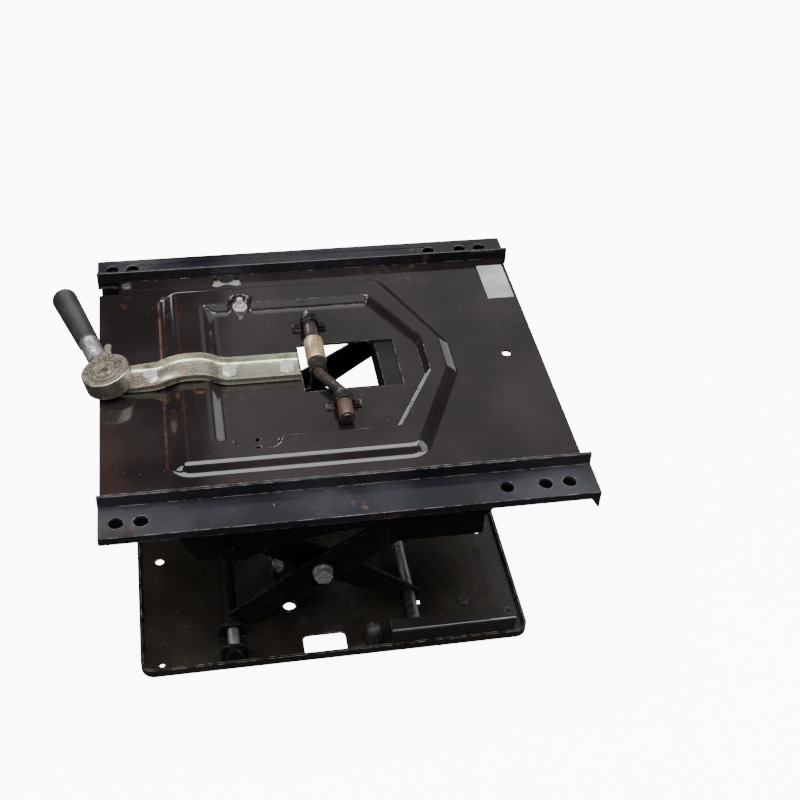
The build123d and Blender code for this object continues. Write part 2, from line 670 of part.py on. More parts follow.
# Tension rocker and springs -----------------------------------------------------
NUT_BORE_R = 6.7
HOOK_X = -58.0
HOOK_Z = 164.0
SPRING_R = 9.0
SPRING_OFFSET = 20.0
SHACKLE_X = ROLLER_X
LOOP_R = 10.8


def nut_place():
    """Foot of the perpendicular from the cross rod to the spindle axis."""
    tilt = math.radians(SPINDLE_TILT)
    along = (ROD_X - SPINDLE_X) * -math.sin(tilt) + (ROD_Z - PAN_LEVEL - STRAP_SHEET) * math.cos(tilt)
    return SPINDLE_X - along * math.sin(tilt), PAN_LEVEL + STRAP_SHEET + along * math.cos(tilt)


def tension_rocker():
    """Lever under the pan, hung from the cross rod through the window."""
    nut_x, nut_z = nut_place()
    points = (
        (ROD_X - 6, ROD_Z - 2),
        (ROD_X - 8, 199),
        (-30, 193),
        (nut_x + 16, nut_z + 6),
        (nut_x + 16, nut_z - 6),
        (HOOK_X - 28, HOOK_Z + 7),
        (HOOK_X - 8, HOOK_Z - 8),
        (HOOK_X + 8, HOOK_Z - 8),
        (ROD_X + 8, 188),
        (ROD_X + 7, ROD_Z - 2),
    )
    y0, y1 = RATCHET_Y - 4, RATCHET_Y + 4
    lever = plate_xz(points, y0, y1)
    lever += ring_y(ROD_X, ROD_Z, 8.6, ROD_R, *HUB_Y)
    lever -= rod_y(ROD_X, ROD_Z, 7.4, -20, 20)
    for cheek in (-1, 1):
        y = RATCHET_Y + cheek * 10.5
        lever += block(nut_x - 7, nut_x + 22, y - 2, y + 2, nut_z - 6, nut_z + 6)
    lever += block(nut_x + 14, nut_x + 22, RATCHET_Y - 12.5, RATCHET_Y + 12.5, nut_z - 6, nut_z + 6)
    lever -= rod_y(nut_x, nut_z, 3.0, -30, 30)
    return lever - rod_y(HOOK_X, HOOK_Z, 4, -40, 40)


def rocker_bearing():
    """Bronze bearing between the rocker's eye and the cross rod."""
    return ring_y(ROD_X, ROD_Z, 7.4, ROD_R + RUNNING_GAP, *HUB_Y)


def trunnion_nut():
    nut_x, nut_z = nut_place()
    nut = Pos(nut_x, RATCHET_Y, nut_z) * Rot(0, -SPINDLE_TILT, 0) * Box(17, 16.6, 11)
    nut += rod_y(nut_x, nut_z, 3.0, RATCHET_Y - 12.5, RATCHET_Y + 12.5)
    bore = Pos(nut_x, RATCHET_Y, nut_z) * Rot(0, -SPINDLE_TILT, 0) * Cylinder(NUT_BORE_R, 30)
    return nut - bore


def spring_pin():
    reach = SPRING_OFFSET + 7
    return rod_y(HOOK_X, HOOK_Z, 4, RATCHET_Y - reach, RATCHET_Y + reach)


def spring_axis():
    """Length and tilt of a spring between its front pin and the roller axle."""
    dx, dz = SHACKLE_X - HOOK_X, AXIS_TOP - HOOK_Z
    return math.hypot(dx, dz), math.degrees(math.atan2(-dz, dx))


def tension_spring(side):
    """Coil body of one tension spring as a plain tube, clear of both hooks."""
    length, tilt = spring_axis()
    coil = Cylinder(SPRING_R, length - 47) - Cylinder(SPRING_R - 3, length)
    frame = Pos(HOOK_X, RATCHET_Y + side * SPRING_OFFSET, HOOK_Z) * Rot(0, tilt, 0)
    return frame * Pos(length / 2, 0, 0) * Rot(0, 90, 0) * coil


def spring_hooks():
    """Wide loops that pull on the upper roller axle, one at the rear of each spring."""
    loops = []
    tilt = spring_axis()[1]
    for side in SIDES.values():
        y = RATCHET_Y + side * SPRING_OFFSET
        loop = ring_y(SHACKLE_X, AXIS_TOP, LOOP_R + 3, LOOP_R, y - 2, y + 2)
        stem = Pos(SHACKLE_X, y, AXIS_TOP) * Rot(0, tilt, 0) * Pos(-17.5, 0, 0) * Box(10, 4, 4)
        loops.append(loop + stem)
    return group(loops)


# Write every sub-part -----------------------------------------------------------
save("base_tray", base_tray())
save("lower_pivot_axle", lower_pivot_axle())
save("lower_axle_nuts", lower_axle_nuts())
save("track_buffers", track_buffers())
save("floor_fasteners", floor_fasteners())
save("arm_a_plate_near", arm_a_plate(*A_NEAR))
save("arm_a_plate_far", arm_a_plate(*A_FAR, damper=True))
save("arm_a_hub_tube", front_tube(PIVOT_Z, FRONT_TUBE_HALF))
save("arm_a_web", cross_web(1, A_NEAR[1], WEB_FAR_EDGE))
save("upper_roller_axle", roller_axle(ROLLER_X, AXIS_TOP, 153.6))
save("damper_pin_a", damper_pin(1, A_FAR[1]))
save("centre_bolts", centre_bolts())
save("arm_b_plate_near", arm_b_plate(*B_NEAR))
save("arm_b_plate_far", arm_b_plate(*B_FAR, damper=True))
save("arm_b_hub_tube", front_tube(AXIS_TOP, FRONT_TUBE_HALF + 7))
save("arm_b_web", cross_web(-1, B_NEAR[1], WEB_FAR_EDGE))
save("lower_roller_axle", roller_axle(ROLLER_X, PIVOT_Z, 181.6))
save("damper_pin_b", damper_pin(-1, B_FAR[1]))
save("damper_cylinder", damper_cylinder())
save("damper_rod", damper_rod())
save("top_pan", top_pan())
save("upper_pivot_axle", upper_pivot_axle())
save("upper_axle_nuts", upper_axle_nuts())
save("cross_channel", cross_channel())
save("strap_channel", strap_channel())
save("strap_bolts", strap_bolts())
save("cross_rod", cross_rod())
save("brass_bush", brass_bush())
save("rod_sleeve", rod_sleeve())
save("rod_clips", rod_clips())
save("pan_studs", group([ridge_bolt(), corner_stud()]))
save("label_plate", label_plate())
save("ratchet_head", ratchet_head())
save("ratchet_wheel", ratchet_wheel())
save("spindle", spindle())
save("handle_sleeve", handle_sleeve())
save("detent_button", detent_button())
save("grip", grip())
save("pawl_selector", pawl_selector())
save("tension_rocker", tension_rocker())
save("rocker_bearing", rocker_bearing())
save("trunnion_nut", trunnion_nut())
save("spring_pin", spring_pin())
save("spring_hooks", spring_hooks())
for label, side in SIDES.items():
    save(f"lower_guide_{label}", lower_guide(side))
    save(f"lower_bracket_{label}", lower_bracket(side))
    save(f"rail_{label}", rail(side))
    save(f"side_plate_{label}", side_plate(side))
    save(f"upper_guide_{label}", upper_guide(side))
    save(f"upper_roller_{label}", roller(ROLLER_X, AXIS_TOP, side * UPPER_ROLLER_Y))
    save(f"lower_roller_{label}", roller(ROLLER_X, PIVOT_Z, side * LOWER_ROLLER_Y))
    save(f"tension_spring_{label}", tension_spring(side))
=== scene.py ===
import math

import bmesh
import bpy
import numpy as np
from mathutils import Matrix, Vector


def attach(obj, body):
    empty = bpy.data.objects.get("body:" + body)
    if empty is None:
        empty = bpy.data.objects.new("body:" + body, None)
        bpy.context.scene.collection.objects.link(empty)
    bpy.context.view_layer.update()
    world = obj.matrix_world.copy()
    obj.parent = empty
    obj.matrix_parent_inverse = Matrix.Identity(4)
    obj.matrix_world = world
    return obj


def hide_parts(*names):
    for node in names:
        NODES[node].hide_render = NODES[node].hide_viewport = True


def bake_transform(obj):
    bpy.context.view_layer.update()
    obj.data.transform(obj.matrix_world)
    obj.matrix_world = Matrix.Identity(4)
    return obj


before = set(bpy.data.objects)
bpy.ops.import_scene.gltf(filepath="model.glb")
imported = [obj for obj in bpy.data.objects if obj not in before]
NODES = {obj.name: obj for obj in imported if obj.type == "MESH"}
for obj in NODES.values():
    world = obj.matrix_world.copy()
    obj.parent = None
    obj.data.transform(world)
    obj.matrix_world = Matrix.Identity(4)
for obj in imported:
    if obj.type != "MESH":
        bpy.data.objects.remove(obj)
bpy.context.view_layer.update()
MM = 0.001

# Places on the upper frame, in millimetres and in the frame's own axes.
LEVEL = 214.0
SHEET = 2.5
RIDGE = 8.0
PAN_FRONT, PAN_REAR, PAN_HALF = -208.0, 225.6, 163.5
RIDGE_FRONT = -149.0
WELL_FRONT = -107.0
WINDOW_FRONT, WINDOW_REAR, WINDOW_HALF = -15.0, 81.0, 35.7
NOTCH_X, NOTCH_Y = -187.5, 141.5
BOSS_X, BOSS_Y = (-87.0, -66.0), 151.5
SPINDLE_X, SPINDLE_Y = -196.0, -9.5
SPINDLE_TILT = math.radians(12)


# Shader helpers --------------------------------------------------------------
class Graph:
    """Short way to add shader nodes to one material."""

    def __init__(self, name):
        self.material = bpy.data.materials.new(name)
        self.material.use_nodes = True
        self.tree = self.material.node_tree
        self.tree.nodes.clear()
        self.coords = self.add("ShaderNodeTexCoord").outputs["Object"]

    def add(self, kind, **settings):
        node = self.tree.nodes.new(kind)
        for key, value in settings.items():
            setattr(node, key, value)
        return node

    def put(self, socket, value):
        if isinstance(value, bpy.types.NodeSocket):
            self.tree.links.new(value, socket)
        elif isinstance(value, tuple) and len(value) == 3 and socket.type == "RGBA":
            socket.default_value = (*value, 1.0)
        else:
            socket.default_value = value

    def noise(self, scale, detail=4.0, rough=0.55, stretch=None, distort=0.0):
        node = self.add("ShaderNodeTexNoise")
        vector = self.coords
        if stretch:
            mapping = self.add("ShaderNodeMapping")
            self.put(mapping.inputs["Vector"], vector)
            mapping.inputs["Scale"].default_value = stretch
            vector = mapping.outputs["Vector"]
        self.put(node.inputs["Vector"], vector)
        node.inputs["Scale"].default_value = scale
        node.inputs["Detail"].default_value = detail
        node.inputs["Roughness"].default_value = rough
        node.inputs["Distortion"].default_value = distort
        return node.outputs["Fac"]

    def ramp(self, value, low, high, out_low=0.0, out_high=1.0):
        node = self.add("ShaderNodeMapRange", clamp=True, interpolation_type="SMOOTHSTEP")
        self.put(node.inputs["Value"], value)
        limits = {"From Min": low, "From Max": high, "To Min": out_low, "To Max": out_high}
        for key, number in limits.items():
            node.inputs[key].default_value = number
        return node.outputs["Result"]

    def math(self, operation, a, b=0.0):
        node = self.add("ShaderNodeMath", operation=operation, use_clamp=False)
        self.put(node.inputs[0], a)
        self.put(node.inputs[1], b)
        return node.outputs[0]

    def mix(self, factor, a, b):
        node = self.add("ShaderNodeMix", data_type="RGBA")
        self.put(node.inputs[0], factor)
        self.put(node.inputs[6], a)
        self.put(node.inputs[7], b)
        return node.outputs[2]

    def blend(self, factor, a, b):
        node = self.add("ShaderNodeMix", data_type="FLOAT")
        self.put(node.inputs[0], factor)
        self.put(node.inputs[2], a)
        self.put(node.inputs[3], b)
        return node.outputs[0]

    def edge(self, radius, low, high):
        """1 on worn edges: where a rounded normal differs from the real one."""
        bevel = self.add("ShaderNodeBevel", samples=4)
        bevel.inputs["Radius"].default_value = radius
        geometry = self.add("ShaderNodeNewGeometry")
        dot = self.add("ShaderNodeVectorMath", operation="DOT_PRODUCT")
        self.put(dot.inputs[0], bevel.outputs["Normal"])
        self.put(dot.inputs[1], geometry.outputs["Normal"])
        away = self.math("SUBTRACT", 1.0, dot.outputs["Value"])
        return self.ramp(away, low, high)

    def axis(self, name):
        split = self.add("ShaderNodeSeparateXYZ")
        self.put(split.inputs[0], self.coords)
        return split.outputs[name]

    def band(self, value, centre, width):
        """1 at centre, fading to 0 at width either side."""
        away = self.math("ABSOLUTE", self.math("SUBTRACT", value, centre))
        return self.ramp(away, 0.0, width, 1.0, 0.0)

    def finish(
        self, color, rough, metal=0.0, coat=0.0, bump=None, strength=0.1, distance=0.0004, specular=0.5
    ):
        """Ends the material with one Principled shader."""
        shader = self.add("ShaderNodeBsdfPrincipled")
        self.put(shader.inputs["Base Color"], color)
        self.put(shader.inputs["Roughness"], rough)
        self.put(shader.inputs["Metallic"], metal)
        self.put(shader.inputs["Coat Weight"], coat)
        shader.inputs["Coat Roughness"].default_value = 0.06
        shader.inputs["Specular IOR Level"].default_value = specular
        if bump is not None:
            node = self.add("ShaderNodeBump")
            node.inputs["Strength"].default_value = strength
            node.inputs["Distance"].default_value = distance
            self.put(node.inputs["Height"], bump)
            self.put(shader.inputs["Normal"], node.outputs["Normal"])
        output = self.add("ShaderNodeOutputMaterial")
        self.tree.links.new(shader.outputs[0], output.inputs["Surface"])
        return self.material


RUST = (0.13, 0.062, 0.032)
BARE = (0.36, 0.34, 0.31)
DUST = (0.22, 0.19, 0.15)


def times(g, *factors):
    """Product of several shader values."""
    product = factors[0]
    for factor in factors[1:]:
        product = g.math("MULTIPLY", product, factor)
    return product


def black_paint(
    name,
    tint=(0.007, 0.0055, 0.0052),
    gloss=(0.07, 0.2),
    wear=0.5,
    rust=0.25,
    dust=0.15,
    crease=False,
    coat=0.25,
):
    """Glossy black paint with dust specks, chipped edges and rust, and when asked a rust-coloured painted
    highlight along the pan's front crease.
    """
    g = Graph(name)
    clouds = g.noise(9.0, 5.0)
    fine = g.noise(240.0, 3.0)
    scratch = g.noise(60.0, 6.0, 0.7, stretch=(0.35, 3.2, 1.0), distort=0.6)
    color = g.mix(g.ramp(clouds, 0.35, 0.7), tint, tuple(min(1.0, c * 1.9 + 0.002) for c in tint))
    specks = g.ramp(g.noise(520.0, 2.0), 0.70, 0.76)
    patchy = g.ramp(g.noise(16.0, 4.0), 0.5, 0.68)
    color = g.mix(times(g, specks, patchy, dust * 2.0), color, DUST)
    edge = g.edge(0.0013, 0.02, 0.22)
    chips = g.math("MULTIPLY", edge, g.ramp(g.noise(110.0, 5.0), 0.5 - wear * 0.12, 0.62))
    color = g.mix(g.math("MULTIPLY", chips, 0.75), color, BARE)
    spots = g.ramp(g.noise(70.0, 6.0, 0.65), 0.56, 0.66)
    rust_and_crease_highlight = times(g, spots, g.ramp(g.noise(7.0), 0.5, 0.66), rust)
    rust_and_crease_highlight = g.math("MAXIMUM", rust_and_crease_highlight, times(g, edge, g.ramp(fine, 0.52, 0.6), rust))
    # Painted highlight: a thin rust-coloured line at the foot of the pan's front slope stands in for the
    # light the crease catches. It is merged into the rust mask.
    if crease:
        line = g.band(g.axis("X"), -0.1482, 0.0022)
        line = g.math("MULTIPLY", line, g.ramp(g.noise(45.0, 5.0), 0.38, 0.6))
        inside = g.ramp(g.math("ABSOLUTE", g.axis("Y")), 0.118, 0.136, 0.45, 0.0)
        rust_and_crease_highlight = g.math("MAXIMUM", rust_and_crease_highlight, times(g, line, inside, 0.8))
    color = g.mix(rust_and_crease_highlight, color, RUST)
    rough = g.ramp(clouds, 0.3, 0.75, gloss[0], gloss[1])
    rough = g.math("ADD", rough, g.math("MULTIPLY", g.ramp(scratch, 0.6, 0.72), 0.1))
    rough = g.blend(g.math("MAXIMUM", rust_and_crease_highlight, chips), rough, 0.6)
    height = g.math("ADD", g.noise(34.0, 2.0), g.math("MULTIPLY", fine, 0.12))
    shine = 0.14 + 1.4 * coat
    return g.finish(color, rough, coat=coat, bump=height, strength=0.12, distance=0.0006, specular=shine)


def bare_metal(name, color, rough=(0.25, 0.45), rust=0.15, grime=0.35, stretch=None, metal=0.95):
    """Unpainted or plated metal with grain, grime and stains."""
    g = Graph(name)
    clouds = g.noise(38.0, 5.0)
    grain = g.noise(300.0, 3.0, 0.6, stretch=stretch)
    dark = tuple(c * 0.45 for c in color)
    base = g.mix(g.ramp(clouds, 0.35, 0.75), color, tuple(c * 0.72 for c in color))
    base = g.mix(g.math("MULTIPLY", g.ramp(g.noise(120.0, 5.0), 0.5, 0.7), grime), base, dark)
    stain = g.math("MULTIPLY", g.ramp(g.noise(85.0, 6.0, 0.65), 0.54, 0.68), rust)
    base = g.mix(stain, base, RUST)
    bright = g.edge(0.0008, 0.02, 0.2)
    base = g.mix(g.math("MULTIPLY", bright, 0.45), base, tuple(min(1.0, c * 1.25) for c in color))
    roughness = g.ramp(grain, 0.3, 0.7, rough[0], rough[1])
    roughness = g.blend(stain, roughness, 0.75)
    metallic = g.blend(stain, metal, 0.1)
    return g.finish(base, roughness, metallic, bump=grain, strength=0.06, distance=0.0003)


def plastic(name, color, rough=(0.45, 0.62), dust=0.15, bump_scale=380.0):
    """Rubber, nylon or a printed-plate finish with dust and rubbed edges."""
    g = Graph(name)
    clouds = g.noise(30.0, 5.0)
    grain = g.noise(bump_scale, 2.0)
    base = g.mix(g.ramp(clouds, 0.35, 0.7), color, tuple(min(1.0, c * 1.5 + 0.004) for c in color))
    spots = g.math("MULTIPLY", g.ramp(g.noise(150.0, 5.0), 0.58, 0.7), dust)
    base = g.mix(spots, base, (0.30, 0.27, 0.23))
    wear = g.math("MULTIPLY", g.edge(0.001, 0.02, 0.25), 0.25)
    base = g.mix(wear, base, tuple(min(1.0, c * 3.0 + 0.03) for c in color))
    roughness = g.ramp(clouds, 0.3, 0.7, *rough)
    return g.finish(base, roughness, bump=grain, strength=0.22, distance=0.0003)


PAN = black_paint("pan_black", gloss=(0.06, 0.15), wear=0.25, rust=0.35, dust=0.25, crease=True)
RAIL = black_paint("rail_black", (0.007, 0.007, 0.0095), (0.1, 0.42), wear=0.8, rust=0.35, dust=0.2)
FRAME = black_paint("frame_black", (0.006, 0.0055, 0.0055), (0.3, 0.5), wear=0.3, rust=0.3, coat=0.0)
TRAY = black_paint("tray_black", (0.012, 0.0105, 0.0085), (0.12, 0.32), rust=0.12, dust=0.4)
GUIDE = black_paint("guide_black", (0.012, 0.011, 0.011), (0.12, 0.24), rust=0.2, dust=0.2)
STRAP = bare_metal(
    "strap_zinc", (0.60, 0.60, 0.47), (0.16, 0.34), rust=0.02, grime=0.12, stretch=(0.4, 2.0, 1.0), metal=0.9
)
ZINC = bare_metal("bolt_zinc", (0.62, 0.62, 0.61), (0.16, 0.3), rust=0.02, grime=0.1, metal=0.6)
DULL = bare_metal("head_steel", (0.34, 0.32, 0.26), (0.22, 0.42), rust=0.1, grime=0.22, metal=0.9)
SLEEVE = bare_metal("sleeve_steel", (0.50, 0.50, 0.49), (0.24, 0.4), 0.0, 0.15, metal=0.85)
STEEL = bare_metal("axle_steel", (0.30, 0.29, 0.28), (0.25, 0.5), rust=0.35, grime=0.5)
ROD = bare_metal("rod_steel", (0.05, 0.043, 0.04), (0.16, 0.34), rust=0.18, grime=0.5, metal=0.6)
RUSTY = bare_metal("rusty_sleeve", (0.085, 0.055, 0.04), (0.3, 0.5), rust=0.4, grime=0.5, metal=0.4)
BRASS = bare_metal("brass", (0.55, 0.41, 0.24), (0.25, 0.42), rust=0.08, grime=0.3, metal=0.75)
BRONZE = bare_metal("bronze", (0.20, 0.12, 0.075), (0.28, 0.45), rust=0.25, grime=0.5)
SPRING = bare_metal("spring_steel", (0.10, 0.10, 0.10), (0.25, 0.45), rust=0.3, grime=0.5)
GRIP = plastic("grip_rubber", (0.012, 0.012, 0.013), (0.38, 0.55), dust=0.08)
RUBBER = plastic("buffer_rubber", (0.016, 0.015, 0.014), (0.4, 0.6), dust=0.2)
ROLLER = plastic("roller_nylon", (0.58, 0.56, 0.50), (0.35, 0.5), dust=0.5)
LABEL = plastic("label_silver", (0.21, 0.215, 0.225), (0.3, 0.42), dust=0.1, bump_scale=90.0)


# Mesh helpers ----------------------------------------------------------------
def dress(obj, material):
    """Gives an object one material."""
    obj.data.materials.clear()
    obj.data.materials.append(material)


def soften(obj, width=0.5, angle=32.0):
    """Joins the import's split corners and rounds the edges a little."""
    weld = obj.modifiers.new("weld", "WELD")
    weld.merge_threshold = 0.00001
    bevel = obj.modifiers.new("bevel", "BEVEL")
    bevel.width = width * MM
    bevel.segments = 2
    bevel.limit_method = "ANGLE"
    bevel.angle_limit = math.radians(angle)
    bevel.harden_normals = True


def piece(name, verts, faces, material, body, stands_for=(), smooth=True):
    """A new mesh in metres that moves with a body and may stand for CAD nodes."""
    mesh = bpy.data.meshes.new(name)
    mesh.from_pydata([tuple(v) for v in verts], [], faces)
    mesh.update()
    if smooth:
        mesh.shade_smooth()
    obj = bpy.data.objects.new(name, mesh)
    bpy.context.scene.collection.objects.link(obj)
    dress(obj, material)
    if body:
        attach(obj, body)
    if stands_for:
        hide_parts(*stands_for)
    return obj


def grid_faces(rows, columns, close_columns=False):
    """Quads over rows of points, closed round each row when it is a ring."""
    faces = []
    for i in range(rows - 1):
        for j in range(columns if close_columns else columns - 1):
            k = (j + 1) % columns
            here, above = i * columns, (i + 1) * columns
            faces.append((here + j, here + k, above + k, above + j))
    return faces


def apply_modifiers(obj):
    """Replaces an object's mesh with the result of its modifiers."""
    graph = bpy.context.evaluated_depsgraph_get()
    mesh = bpy.data.meshes.new_from_object(obj.evaluated_get(graph))
    obj.modifiers.clear()
    obj.data = mesh


def cut(obj, cutters):
    """Cuts the given pieces out of an object, and removes them."""
    for cutter in cutters:
        tool = obj.modifiers.new("cut", "BOOLEAN")
        tool.operation = "DIFFERENCE"
        tool.solver = "EXACT"
        tool.object = cutter
    apply_modifiers(obj)
    for cutter in cutters:
        bpy.data.objects.remove(cutter)


def peg(x, y, radius, z0, z1, sides=40):
    """Upright cylinder in millimetres, used as a cutter."""
    verts = []
    for z in (z0, z1):
        for i in range(sides):
            a = 2 * math.pi * i / sides
            verts.append(Vector((x + radius * math.cos(a), y + radius * math.sin(a), z)) * MM)
    faces = [tuple(reversed(range(sides))), tuple(range(sides, 2 * sides))]
    for i in range(sides):
        j = (i + 1) % sides
        faces.append((i, j, sides + j, sides + i))
    return piece("peg", verts, faces, PAN, None, smooth=False)


def sweep_tube(name, path, radius, material, body, sides=14, stands_for=()):
    """Round bar along a list of points in millimetres."""
    points = [Vector(p) * MM for p in path]
    verts = []
    side = Vector((0, 0, 1))
    for i, p in enumerate(points):
        ahead = (points[min(i + 1, len(points) - 1)] - points[max(i - 1, 0)]).normalized()
        side = (side - ahead * side.dot(ahead)).normalized()
        other = ahead.cross(side)
        for k in range(sides):
            a = 2 * math.pi * k / sides
            verts.append(p + (side * math.cos(a) + other * math.sin(a)) * radius * MM)
    faces = grid_faces(len(points), sides, True)
    last = (len(points) - 1) * sides
    faces.append(tuple(reversed(range(sides))))
    faces.append(tuple(range(last, last + sides)))
    return piece(name, verts, faces, material, body, stands_for)


# Pressed top pan -------------------------------------------------------------
def polygon_distance(x, y, corners):
    """Signed distance to a polygon, positive inside, for arrays of points."""
    best = np.full(x.shape, 1e9)
    inside = np.zeros(x.shape, bool)
    for (ax, ay), (bx, by) in zip(corners, corners[1:] + corners[:1]):
        dx, dy = bx - ax, by - ay
        t = np.clip(((x - ax) * dx + (y - ay) * dy) / (dx * dx + dy * dy), 0, 1)
        best = np.minimum(best, np.hypot(x - ax - t * dx, y - ay - t * dy))
        if ay != by:
            crosses = ((ay > y) != (by > y)) & (x < (bx - ax) * (y - ay) / (by - ay) + ax)
            inside ^= crosses
    return np.where(inside, best, -best)


def rounded_distance(x, y, front, side, shoulder, rear, rear_y, radius):
    """Signed distance to a six-sided outline with rounded corners."""
    lean = radius * 0.6
    corners = [
        (front + radius, -side + radius),
        (shoulder - lean, -side + radius),
        (rear - radius, -rear_y + lean),
        (rear - radius, rear_y - lean),
        (shoulder - lean, side - radius),
        (front + radius, side - radius),
    ]
    return polygon_distance(x, y, corners) + radius


def ease(d, width):
    """Smooth step from 0 at d = 0 to 1 at d = width."""
    t = np.clip(d / width, 0, 1)
    return t * t * (3 - 2 * t)


def pan_height(x, y):
    """Height of the pressing above the flat sheet: a ridge round a sunken well."""
    outer = rounded_distance(x, y, RIDGE_FRONT, 139, 84, 137, 33, 22)
    front = ease(x - RIDGE_FRONT, 20)
    raised = np.minimum(ease(outer, 12), front)
    well = rounded_distance(x, y, WELL_FRONT, 103, 66, 109, 28, 7)
    sunk = np.minimum(ease(well, 5), ease(x - WELL_FRONT, 15.5))
    # A flat tab bites into the near side of the ridge, and a round pocket into the far side.
    tab_x = np.clip(x, -74, -58)
    tab = 12 - np.hypot(x - tab_x, y + np.clip(-y, 80, 103))
    sunk = np.maximum(sunk, ease(tab + 2.5, 4))
    pocket = 12 - np.hypot(x + 66, y - 104)
    sunk = np.maximum(sunk, ease(pocket + 1.5, 4))
    height = RIDGE * raised * (1 - sunk)
    for boss_x in BOSS_X:
        height = height + 2.2 * ease(7.5 - np.hypot(x - boss_x, y - BOSS_Y), 3)
    bar = 5.5 - np.hypot(x - np.clip(x, *BOSS_X), y - BOSS_Y)
    return height + 1.2 * ease(bar, 2.5)


def lines(low, high, step, exact=()):
    """Grid lines from low to high that include the exact values."""
    count = int(round((high - low) / step)) + 1
    values = set(np.linspace(low, high, count).tolist())
    for value in exact:
        nearest = min(values, key=lambda v: abs(v - value))
        values.discard(nearest)
        values.add(value)
    return np.array(sorted(values))


def build_pan():
    """Pressed sheet with its ridge, well, window and holes, in place of the plain CAD pan."""
    step = 1.6
    exact_x = (WINDOW_FRONT, WINDOW_REAR, NOTCH_X, RIDGE_FRONT, PAN_FRONT, PAN_REAR)
    exact_y = (-WINDOW_HALF, WINDOW_HALF, NOTCH_Y, -PAN_HALF, PAN_HALF)
    xs = lines(PAN_FRONT, PAN_REAR, step, exact_x)
    ys = lines(-PAN_HALF, PAN_HALF, step, exact_y)
    gx, gy = np.meshgrid(xs, ys, indexing="ij")
    z = LEVEL + pan_height(gx, gy)
    verts = np.stack([gx, gy, z], -1).reshape(-1, 3) * MM
    faces = []
    columns = len(ys)
    for i in range(len(xs) - 1):
        mid_x = (xs[i] + xs[i + 1]) / 2
        for j in range(columns - 1):
            mid_y = (ys[j] + ys[j + 1]) / 2
            if WINDOW_FRONT < mid_x < WINDOW_REAR and abs(mid_y) < WINDOW_HALF:
                continue
            if mid_x < NOTCH_X and mid_y > NOTCH_Y:
                continue
            here, ahead = i * columns + j, (i + 1) * columns + j
            faces.append((here, ahead, ahead + 1, here + 1))
    pan = piece("pressed_pan", verts, faces, PAN, None)
    cleaner = bmesh.new()
    cleaner.from_mesh(pan.data)
    bmesh.ops.delete(cleaner, geom=[v for v in cleaner.verts if not v.link_faces], context="VERTS")
    cleaner.to_mesh(pan.data)
    cleaner.free()
    thick = pan.modifiers.new("sheet", "SOLIDIFY")
    thick.thickness = SHEET * MM
    thick.offset = -1.0
    apply_modifiers(pan)
    below, above = LEVEL - 14, LEVEL + 16
    holes = [peg(192, 0, 4.6, below, above)]
    holes += [peg(-66, y, 2.6, below, above) for y in (-97.5, -108)]
    holes += [peg(x, BOSS_Y, 2.6, LEVEL + 1.2, above) for x in BOSS_X]
    holes.append(peg(SPINDLE_X - 0.5, SPINDLE_Y, 9.2, below, above))
    cut(pan, holes)
    pan.data.shade_smooth()
    pan.data.set_sharp_from_angle(angle=math.radians(40))
    dress(pan, PAN)
    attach(pan, "upper_frame")
    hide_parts("top_pan")


# Zinc strap ------------------------------------------------------------------
def smooth_path(points, radius, steps=8):
    """Rounds the corners of an open path in the XZ plane."""
    out = [Vector(points[0])]
    for before, here, after in zip(points, points[1:], points[2:]):
        a, b, c = Vector(before), Vector(here), Vector(after)
        reach = min(radius, (a - b).length * 0.48, (c - b).length * 0.48)
        start = b + (a - b).normalized() * reach
        end = b + (c - b).normalized() * reach
        for i in range(steps + 1):
            t = i / steps
            out.append(start.lerp(b, t).lerp(b.lerp(end, t), t))
    out.append(Vector(points[-1]))
    return out


def build_strap():
    """Zinc channel swept along its bridge, with lips that start behind the handle."""
    base = [(-208, 0), (-152, 0), (-133, 8.9), (-108, 8.9), (-92, 0.1), (-17, 0.1)]
    path = smooth_path([(x, LEVEL + z) for x, z in base], 13, 10)
    middle, lip_top = -1.5, 8
    outside = [(17, lip_top), (17, 1.6), (16.4, 0.5), (15.3, 0)]
    inside = [(14.5, lip_top), (14.5, 4.2), (14, 3.1), (12.9, 2.7)]
    section = [(middle - y, z) for y, z in outside] + [(middle + y, z) for y, z in reversed(outside)]
    section += [(middle + y, z) for y, z in inside] + [(middle - y, z) for y, z in reversed(inside)]
    verts = []
    for i, p in enumerate(path):
        ahead = path[min(i + 1, len(path) - 1)] - path[max(i - 1, 0)]
        up = Vector((-ahead.y, ahead.x)).normalized()
        lip = min(1.0, max(0.0, (p.x + 171) / 4.0))
        for y, z in section:
            tall = min(z, 3.0) + max(0.0, z - 3.0) * lip
            verts.append(Vector((p.x + up.x * tall, y, p.y + up.y * tall)) * MM)
    sides = len(section)
    faces = grid_faces(len(path), sides, True)
    faces.append(tuple(reversed(range(sides))))
    faces.append(tuple(range((len(path) - 1) * sides, len(path) * sides)))
    strap = piece("zinc_strap", verts, faces, STRAP, None)
    strap.data.set_sharp_from_angle(angle=math.radians(50))
    cut(strap, [peg(SPINDLE_X - 0.5, SPINDLE_Y, 8.0, LEVEL - 9, LEVEL + 11)])
    bevel = strap.modifiers.new("bevel", "BEVEL")
    bevel.width = 0.0005
    bevel.segments = 2
    bevel.angle_limit = math.radians(50)
    dress(strap, STRAP)
    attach(strap, "upper_frame")
    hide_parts("strap_channel")


